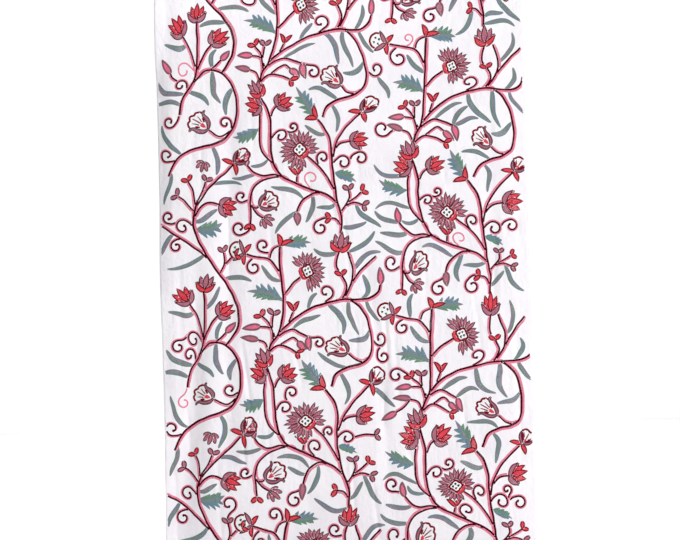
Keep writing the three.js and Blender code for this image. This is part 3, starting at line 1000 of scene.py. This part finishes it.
hem_line = (np.exp(-(((np.abs(GS) - hem_s) / 3.2) ** 2)) + np.exp(-(((GZ + TOP_HEM) / 3.2) ** 2)) + np.exp(-(((GZ + DROP - BOTTOM_HEM) / 3.2) ** 2)))
Y = depth_of(FOLDS, GS, GZ) - depth_of(FOLDS, 0.0, 0.0)
dS, dY = np.diff(GS, axis=1), np.diff(Y, axis=1)      # the folds draw the cloth in
Y += depth_of(CREASES, GS, GZ) - 1.5 * pucker + ripple + 0.55 * np.minimum(hem_line, 1)
X = np.concatenate([np.zeros((len(Z), 1)), np.cumsum(np.sqrt(np.maximum(dS**2 - dY**2, 0)), 1)], 1)
X -= X[:, [int(np.argmin(np.abs(S)))]]
MID = np.stack([X, Y, GZ], -1)
ds = np.stack([np.gradient(MID[..., i], S, axis=1) for i in range(3)], -1)
dz = np.stack([np.gradient(MID[..., i], Z, axis=0) for i in range(3)], -1)
FACE = np.cross(ds, dz)                       # out of the embroidered face, to -Y
FACE /= np.linalg.norm(FACE, axis=-1, keepdims=True)
if FACE[..., 1].mean() > 0:
    FACE = -FACE


def on_cloth(s, z, out):
    """Points on the hung cloth, out in front of its middle (behind it if negative)."""
    j = np.clip(np.searchsorted(S, s) - 1, 0, len(S) - 2)
    i = np.clip(np.searchsorted(-Z, -z) - 1, 0, len(Z) - 2)
    a = np.clip((s - S[j]) / (S[j + 1] - S[j]), -0.5, 1.5)[:, None]
    b = np.clip((z - Z[i]) / (Z[i + 1] - Z[i]), -0.5, 1.5)[:, None]
    mix = lambda G: (G[i, j] * (1 - a) + G[i, j + 1] * a) * (1 - b) + (G[i + 1, j] * (1 - a) + G[i + 1, j + 1] * a) * b
    return mix(MID) + mix(FACE) * np.reshape(out, (-1, 1))


def hem_extra(s, z):
    into = np.minimum(np.minimum(hem_s - np.abs(s), -z - TOP_HEM), DROP + z - BOTTOM_HEM)
    return HEM_EXTRA * smooth(-into / 4.0)


# ------------------------------------------------------------------ meshes
def make(name, verts, faces, material):
    me = bpy.data.meshes.new(name)
    verts = np.asarray(verts, np.float32) * 0.001
    faces = np.asarray(faces, np.int32)
    n, k = faces.shape
    me.vertices.add(len(verts))
    me.vertices.foreach_set("co", verts.ravel())
    me.loops.add(n * k)
    me.loops.foreach_set("vertex_index", faces.ravel())
    me.polygons.add(n)
    me.polygons.foreach_set("loop_start", np.arange(0, n * k, k, dtype=np.int32))
    me.polygons.foreach_set("loop_total", np.full(n, k, np.int32))
    me.update(calc_edges=True)
    me.polygons.foreach_set("use_smooth", np.ones(n, bool))
    me.materials.append(material)
    ob = bpy.data.objects.new(name, me)
    bpy.context.collection.objects.link(ob)
    return ob


def add_uv(ob, name, per_vertex=None, per_loop=None):
    me = ob.data
    layer = me.uv_layers.new(name=name)
    if per_loop is None:
        idx = np.empty(len(me.loops), np.int32)
        me.loops.foreach_get("vertex_index", idx)
        per_loop = np.asarray(per_vertex)[idx]
    layer.data.foreach_set("uv", np.asarray(per_loop, np.float32).ravel())


def add_colour(ob, rgb):
    layer = ob.data.color_attributes.new(name="yarn_with_painted_shade", type="FLOAT_COLOR", domain="POINT")
    rgba = np.concatenate([rgb, np.ones((len(rgb), 1))], 1).astype(np.float32)
    layer.data.foreach_set("color", rgba.ravel())


# ------------------------------------------------------------------ materials
def node_material(name):
    m = bpy.data.materials.new(name)
    m.use_nodes = True
    nt = m.node_tree
    bsdf = nt.nodes["Principled BSDF"]
    return m, nt, bsdf


def new(nt, kind, **values):
    n = nt.nodes.new(kind)
    for k, v in values.items():
        setattr(n, k, v)
    return n


def math_node(nt, op, a, b=None, clamp=False):
    n = new(nt, "ShaderNodeMath", operation=op, use_clamp=clamp)
    for i, x in enumerate((a, b)):
        if x is None:
            continue
        if isinstance(x, (int, float)):
            n.inputs[i].default_value = x
        else:
            nt.links.new(x, n.inputs[i])
    return n.outputs[0]


def ramp(nt, fac, stops):
    n = new(nt, "ShaderNodeValToRGB")
    while len(n.color_ramp.elements) < len(stops):
        n.color_ramp.elements.new(0.5)
    for e, (p, c) in zip(n.color_ramp.elements, stops):
        e.position = p
        e.color = (*c, 1) if len(c) == 3 else c
    nt.links.new(fac, n.inputs["Fac"])
    return n.outputs["Color"]


def cotton():
    m, nt, bsdf = node_material("ground_cotton")
    uv = new(nt, "ShaderNodeUVMap", uv_map="flat").outputs["UV"]
    # slow tone changes, and slubs along warp and weft
    tone = new(nt, "ShaderNodeTexNoise")
    tone.inputs["Scale"].default_value = 4.5
    tone.inputs["Detail"].default_value = 3.0
    nt.links.new(uv, tone.inputs["Vector"])

    def slub(sx, sy):
        mp = new(nt, "ShaderNodeMapping")
        mp.inputs["Scale"].default_value = (sx, sy, 1)
        nt.links.new(uv, mp.inputs["Vector"])
        n = new(nt, "ShaderNodeTexNoise")
        n.inputs["Scale"].default_value = 1.0
        n.inputs["Detail"].default_value = 2.0
        nt.links.new(mp.outputs["Vector"], n.inputs["Vector"])
        return n.outputs["Fac"]

    slubs = math_node(nt, "ADD", slub(900, 30), slub(30, 900))
    both = math_node(nt, "ADD", math_node(nt, "MULTIPLY", tone.outputs["Fac"], 0.7), math_node(nt, "MULTIPLY", slubs, 0.15))
    col = ramp(nt, both, [(0.30, linear((242, 238, 244))), (0.55, linear((249, 246, 250))), (0.75, linear((252, 249, 252)))])
    nt.links.new(col, bsdf.inputs["Base Color"])
    bsdf.inputs["Roughness"].default_value = 0.92
    bsdf.inputs["Specular IOR Level"].default_value = 0.25
    bsdf.inputs["Sheen Weight"].default_value = 0.04
    bsdf.inputs["Sheen Roughness"].default_value = 0.5

    # plain weave: warp and weft threads 0.9 mm apart, passing over and under
    sep = new(nt, "ShaderNodeSeparateXYZ")
    nt.links.new(uv, sep.inputs[0])
    k = 2 * math.pi / 0.0018
    sx = math_node(nt, "SINE", math_node(nt, "MULTIPLY", sep.outputs["X"], k))
    sy = math_node(nt, "SINE", math_node(nt, "MULTIPLY", sep.outputs["Y"], k))
    over = math_node(nt, "MULTIPLY", sx, sy)
    height = math_node(nt, "ADD", math_node(nt, "MULTIPLY", over, 0.35), math_node(nt, "MULTIPLY", slubs, 0.6))
    # the slight crinkle of washed cotton, longer down the drop than across
    place = new(nt, "ShaderNodeMapping")
    place.inputs["Scale"].default_value = (66, 38, 1)
    nt.links.new(uv, place.inputs["Vector"])
    crinkle = new(nt, "ShaderNodeTexNoise")
    crinkle.inputs["Scale"].default_value = 1.0
    crinkle.inputs["Detail"].default_value = 4.0
    crinkle.inputs["Roughness"].default_value = 0.62
    crinkle.inputs["Distortion"].default_value = 0.4
    nt.links.new(place.outputs["Vector"], crinkle.inputs["Vector"])
    creased = new(nt, "ShaderNodeBump")
    creased.inputs["Strength"].default_value = 1.0
    creased.inputs["Distance"].default_value = 0.0044
    nt.links.new(crinkle.outputs["Fac"], creased.inputs["Height"])
    bump = new(nt, "ShaderNodeBump")
    bump.inputs["Strength"].default_value = 0.35
    bump.inputs["Distance"].default_value = 0.00025
    nt.links.new(creased.outputs["Normal"], bump.inputs["Normal"])
    nt.links.new(height, bump.inputs["Height"])
    nt.links.new(bump.outputs["Normal"], bsdf.inputs["Normal"])
    return m


def wool():
    m, nt, bsdf = node_material("crewel_wool")
    at = new(nt, "ShaderNodeAttribute", attribute_name="yarn_with_painted_shade")
    uv = new(nt, "ShaderNodeUVMap", uv_map="stitch").outputs["UV"]
    fibre = new(nt, "ShaderNodeTexNoise")
    fibre.inputs["Scale"].default_value = 900
    fibre.inputs["Detail"].default_value = 2.0
    geo = new(nt, "ShaderNodeNewGeometry")
    nt.links.new(geo.outputs["Position"], fibre.inputs["Vector"])
    shade = new(nt, "ShaderNodeMapRange")
    shade.inputs["From Min"].default_value = 0.25
    shade.inputs["From Max"].default_value = 0.75
    shade.inputs["To Min"].default_value = 0.82
    shade.inputs["To Max"].default_value = 1.14
    nt.links.new(fibre.outputs["Fac"], shade.inputs["Value"])
    mix = new(nt, "ShaderNodeMix", data_type="RGBA", blend_type="MULTIPLY")
    mix.inputs["Factor"].default_value = 1.0
    nt.links.new(at.outputs["Color"], mix.inputs[6])
    nt.links.new(shade.outputs["Result"], mix.inputs[7])
    nt.links.new(mix.outputs[2], bsdf.inputs["Base Color"])
    bsdf.inputs["Roughness"].default_value = 0.9
    bsdf.inputs["Specular IOR Level"].default_value = 0.08
    # the two sides of each chain loop, meeting at its joints, twisted of fine plies
    sep = new(nt, "ShaderNodeSeparateXYZ")
    nt.links.new(uv, sep.inputs[0])
    across = math_node(nt, "ABSOLUTE", math_node(nt, "SUBTRACT", sep.outputs["Y"], 0.5))
    bow = math_node(nt, "MULTIPLY", math_node(nt, "SINE", math_node(nt, "MULTIPLY", sep.outputs["X"], math.pi)), 0.27)
    off = math_node(nt, "MULTIPLY", math_node(nt, "SUBTRACT", across, bow), 6.0)
    strand = math_node(nt, "DIVIDE", 1.0, math_node(nt, "ADD", math_node(nt, "MULTIPLY", off, off), 1.0))
    ply = math_node(nt, "SINE", math_node(nt, "ADD", math_node(nt, "MULTIPLY", sep.outputs["X"], 25.0), math_node(nt, "MULTIPLY", across, 16.0)))
    height = math_node(nt, "ADD", strand, math_node(nt, "MULTIPLY", ply, 0.14))
    height = math_node(nt, "ADD", height, math_node(nt, "MULTIPLY", fibre.outputs["Fac"], 0.3))
    bump = new(nt, "ShaderNodeBump")
    bump.inputs["Strength"].default_value = 0.4
    bump.inputs["Distance"].default_value = 0.0004
    nt.links.new(height, bump.inputs["Height"])
    nt.links.new(bump.outputs["Normal"], bsdf.inputs["Normal"])
    return m


COTTON, WOOL = cotton(), wool()

# ------------------------------------------------------------------ the cotton panel
nz, ns = GS.shape
front = (MID + FACE * (CLOTH / 2)).reshape(-1, 3)
back = (MID - FACE * (CLOTH / 2 + hem_extra(GS, GZ))[..., None]).reshape(-1, 3)
I, J = np.meshgrid(np.arange(nz - 1), np.arange(ns - 1), indexing="ij")
I, J = I.ravel(), J.ravel()
F = lambda i, j: i * ns + j
B = lambda i, j: nz * ns + i * ns + j
quads = [np.stack([F(I, J), F(I + 1, J), F(I + 1, J + 1), F(I, J + 1)], 1),
         np.stack([B(I, J), B(I, J + 1), B(I + 1, J + 1), B(I + 1, J)], 1)]
j, i = np.arange(ns - 1), np.arange(nz - 1)
zero = 0
quads += [np.stack([F(zero, j), F(zero, j + 1), B(zero, j + 1), B(zero, j)], 1),
          np.stack([F(nz - 1, j + 1), F(nz - 1, j), B(nz - 1, j), B(nz - 1, j + 1)], 1),
          np.stack([F(i + 1, zero), F(i, zero), B(i, zero), B(i + 1, zero)], 1),
          np.stack([F(i, ns - 1), F(i + 1, ns - 1), B(i + 1, ns - 1), B(i, ns - 1)], 1)]
panel = make("cotton_panel", np.vstack([front, back]), np.vstack(quads), COTTON)
flat = np.stack([GS, GZ], -1).reshape(-1, 2) * 0.001
add_uv(panel, "flat", per_vertex=np.vstack([flat, flat]))
un, vn = (GS.ravel() / FLAT_WIDTH + 0.5), (GZ.ravel() / DROP + 1)
bake = np.vstack([np.stack([0.005 + 0.488 * un, 0.005 + 0.99 * vn], 1), np.stack([0.507 + 0.488 * un, 0.005 + 0.99 * vn], 1)])
add_uv(panel, "OFBake", per_vertex=bake)
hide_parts("curtain_panel")
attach(panel, "root")

# ------------------------------------------------------------------ stitches
count = len(AT)
mid = AT[:, 1]
along = AT[:, 2] - AT[:, 0]
size = np.linalg.norm(along, axis=1)
along = along / np.maximum(size, 1e-6)[:, None]
across = np.stack([-along[:, 1], along[:, 0]], 1)
dye = np.clip(YARN_LINEAR[COLOUR] * rng.normal(1, 0.06, (count, 1)) * rng.normal(1, 0.02, (count, 3)), 0, 0.95)
thick = YARN_HIGH * np.clip(WIDE / ROW, 0.30, 1.15)
thick[:, 1] *= rng.uniform(0.90, 1.12, count)
thick *= np.array((0.66, 1.0, 0.66)) * END


def bake_map(ob, pick, k, flat, strip):
    """The baking map: the strip of cloth in three lengths, side by side."""
    lo, hi = strip
    third = np.repeat(np.clip((-mid[pick][:, 1] / DROP * 3).astype(int), 0, 2), k)
    u = (third + 0.01 + 0.98 * np.clip((flat[:, 0] - lo + 6) / (hi - lo + 12), 0, 1)) / 3
    v = 0.01 + 0.98 * np.clip((-flat[:, 1] / DROP * 3 - third) * 0.98 + 0.01, 0, 1)
    add_uv(ob, "OFBake", per_vertex=np.stack([u, v], 1))


# A chain loop is a short raised patch: left edge, crown and right edge at its two joints and
# its middle. It is full in the middle and drawn in at the joints.
def chain_face(name, pick, strip):
    n = int(pick.sum())
    full = np.array((0.50, 0.545, 0.50))
    reach = (WIDE[pick] * full)[..., None] * LEFT[pick]                       # n, 3 joints, 2
    flat = np.stack([AT[pick] + reach, AT[pick], AT[pick] - reach], 2)       # n, joints, left-crown-right, 2
    crown = thick[pick]
    edge = lambda joined: np.where(joined[:, None] > 0, 0.34 * crown, -0.16)
    out = CLOTH / 2 + np.stack([edge(JOINED[pick, 0]), crown, edge(JOINED[pick, 1])], 2)
    # painted shade and highlight: the yarn colour is darkened to 0.88 along the loop's edges and to 0.95 at the crown's
    # joints, and lightened to 1.07 in the middle of the crown; white yarn is lightened evenly to 1.04 instead
    shade = np.stack([np.full((n, 3), 0.88), np.tile((0.95, 1.07, 0.95), (n, 1)), np.full((n, 3), 0.88)], 2)
    shade[COLOUR[pick] == INDEX["white"]] = 1.04
    flat, out = flat.reshape(-1, 2), out.ravel()
    v = lambda joint, part: joint * 3 + part
    one = np.array([f for j in (0, 1) for f in ((v(j, 2), v(j + 1, 2), v(j + 1, 1), v(j, 1)), (v(j, 1), v(j + 1, 1), v(j + 1, 0), v(j, 0)))])
    ob = make(name, on_cloth(flat[:, 0], flat[:, 1], out), (one[None] + 9 * np.arange(n)[:, None, None]).reshape(-1, 4), WOOL)
    uv = np.array([(j / 2, 1 - p / 2) for j in range(3) for p in range(3)])
    add_uv(ob, "stitch", per_vertex=np.tile(uv, (n, 1)))
    # vertex colour: the yarn colour times the painted shade and highlight of the loop
    add_colour(ob, np.clip(dye[pick][:, None] * shade.reshape(n, 9, 1), 0, 1).reshape(-1, 3))
    bake_map(ob, pick, 9, flat, strip)
    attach(ob, "root")
    return ob


# Behind the cloth the same stitch is a short straight bar. Its shade column is painted shade and a painted highlight:
# the yarn colour is darkened to 0.80 at the ends and 0.90 at the sides, and lightened to 1.05 at the crest.
BAR = np.array([
    # along, across, height, shade, u, v
    (-0.56, 0.00, -0.10, 0.80, 0.0, 0.5),
    (0.00, +0.38, -0.10, 0.90, 0.5, 1.0),
    (0.00, -0.38, -0.10, 0.90, 0.5, 0.0),
    (+0.56, 0.00, -0.10, 0.80, 1.0, 0.5),
    (0.00, 0.00, 1.00, 1.05, 0.5, 0.5),
])
BAR_FACES = np.array([(1, 0, 4), (3, 1, 4), (0, 2, 4), (2, 3, 4)])


def chain_reverse(name, pick, strip):
    n, k = int(pick.sum()), len(BAR)
    w = np.maximum(WIDE[pick, 1], 0.5 * ROW)
    flat = (mid[pick][:, None] + along[pick][:, None] * (BAR[None, :, 0] * size[pick][:, None])[..., None]
            + across[pick][:, None] * (BAR[None, :, 1] * w[:, None])[..., None]).reshape(-1, 2)
    rise = (BAR[None, :, 2] * np.full((n, 1), 0.45 * YARN_HIGH)).ravel()
    out = -(CLOTH / 2 + hem_extra(flat[:, 0], flat[:, 1]) + rise)
    ob = make(name, on_cloth(flat[:, 0], flat[:, 1], out), (BAR_FACES[None] + k * np.arange(n)[:, None, None]).reshape(-1, 3), WOOL)
    add_uv(ob, "stitch", per_vertex=np.tile(BAR[:, 4:6], (n, 1)))
    # vertex colour: the yarn colour times the painted shade and highlight of the bar
    add_colour(ob, np.clip(dye[pick][:, None] * BAR[None, :, 3:4], 0, 1).reshape(-1, 3))
    bake_map(ob, pick, k, flat, strip)
    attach(ob, "root")
    return ob


cuts = np.linspace(-half, half, 5)
for n in range(4):
    chain_face(f"crewel_face_{n + 1}", (mid[:, 0] >= cuts[n]) & (mid[:, 0] < cuts[n + 1]), (cuts[n], cuts[n + 1]))
for n in range(2):
    chain_reverse(f"crewel_reverse_{n + 1}", (mid[:, 0] >= cuts[2 * n]) & (mid[:, 0] < cuts[2 * n + 2]), (cuts[2 * n], cuts[2 * n + 2]))

# ------------------------------------------------------------------ floor, light, camera
def plain(name, rgb, rough):
    m, nt, bsdf = node_material(name)
    n = new(nt, "ShaderNodeTexNoise")
    n.inputs["Scale"].default_value = 1.2
    c = ramp(nt, n.outputs["Fac"], [(0.3, linear(rgb)), (0.7, linear([min(255, v + 3) for v in rgb]))])
    nt.links.new(c, bsdf.inputs["Base Color"])
    bsdf.inputs["Roughness"].default_value = rough
    return m


FLOOR_Z = -(DROP + 25) * 0.001
me = bpy.data.meshes.new("floor")
e = 6.4
me.from_pydata([(-e, -e, FLOOR_Z), (e, -e, FLOOR_Z), (e, e, FLOOR_Z), (-e, e, FLOOR_Z)], [], [(0, 1, 2, 3)])
floor = bpy.data.objects.new("floor", me)
me.materials.append(plain("pale_floor", (248, 248, 248), 0.8))
bpy.context.collection.objects.link(floor)

world = bpy.data.worlds.new("studio")
bpy.context.scene.world = world
world.use_nodes = True
wt = world.node_tree
bg = wt.nodes["Background"]
bg.inputs["Color"].default_value = (0.985, 0.98, 1.0, 1)
bg.inputs["Strength"].default_value = 0.30
seen = wt.nodes.new("ShaderNodeBackground")
seen.inputs["Color"].default_value = (1, 1, 1, 1)
seen.inputs["Strength"].default_value = 1.02
path_node = wt.nodes.new("ShaderNodeLightPath")
either = wt.nodes.new("ShaderNodeMixShader")
wt.links.new(path_node.outputs["Is Camera Ray"], either.inputs[0])
wt.links.new(bg.outputs[0], either.inputs[1])
wt.links.new(seen.outputs[0], either.inputs[2])
wt.links.new(either.outputs[0], wt.nodes["World Output"].inputs["Surface"])


def area_light(name, at, look, size, watts, colour=(1, 1, 1)):
    li = bpy.data.lights.new(name, "AREA")
    li.shape = "RECTANGLE"
    li.size, li.size_y = size
    li.energy = watts
    li.color = colour
    ob = bpy.data.objects.new(name, li)
    ob.visible_camera = False
    bpy.context.collection.objects.link(ob)
    ob.location = at
    ob.rotation_euler = (Vector(look) - Vector(at)).to_track_quat("-Z", "Y").to_euler()
    return ob


area_light("key", (6.6, -4.2, 1.2), (0.0, 0.0, -1.0), (2.2, 2.2), 252)
area_light("front", (0.2, -5.8, -1.55), (-0.1, 0.0, -1.35), (2.6, 1.0), 83)
area_light("upper", (-0.5, -0.5, 0.6), (-0.35, 0.0, -0.25), (1.4, 0.3), 3.4)
area_light("back", (2.8, 5.2, 0.6), (0.0, 0.0, -1.1), (2.4, 2.4), 80)
wash = area_light("floor_wash", (0.0, 3.6, 3.4), (0.0, 3.6, -2.0), (9.0, 6.0), 520)
# the wash keeps the floor behind pale and leaves the cloth alone
lit = bpy.data.collections.new("floor_only")
lit.objects.link(floor)
wash.light_linking.receiver_collection = lit

MM_PER_PX = 3.546
cam_data = bpy.data.cameras.new("camera")
cam = bpy.data.objects.new("camera", cam_data)
bpy.context.collection.objects.link(cam)
DISTANCE, PITCH, ROLL = 4.5, math.radians(2.15), math.radians(1.38)
target = Vector((-0.0150, 0.0, -DROP * 0.001 / 2))
forward = Vector((0, math.cos(PITCH), math.sin(PITCH)))
cam.matrix_world = Matrix.Translation(target - forward * DISTANCE) @ (forward.to_track_quat("-Z", "Y").to_matrix() @ Matrix.Rotation(-ROLL, 3, "Z")).to_4x4()
cam_data.sensor_width = 36
cam_data.lens = 36 * DISTANCE / (680 * MM_PER_PX * 0.001)
cam_data.clip_end = 60
bpy.context.scene.camera = cam
bpy.context.scene.view_settings.view_transform = "Standard"
bpy.context.scene.view_settings.look = "None"
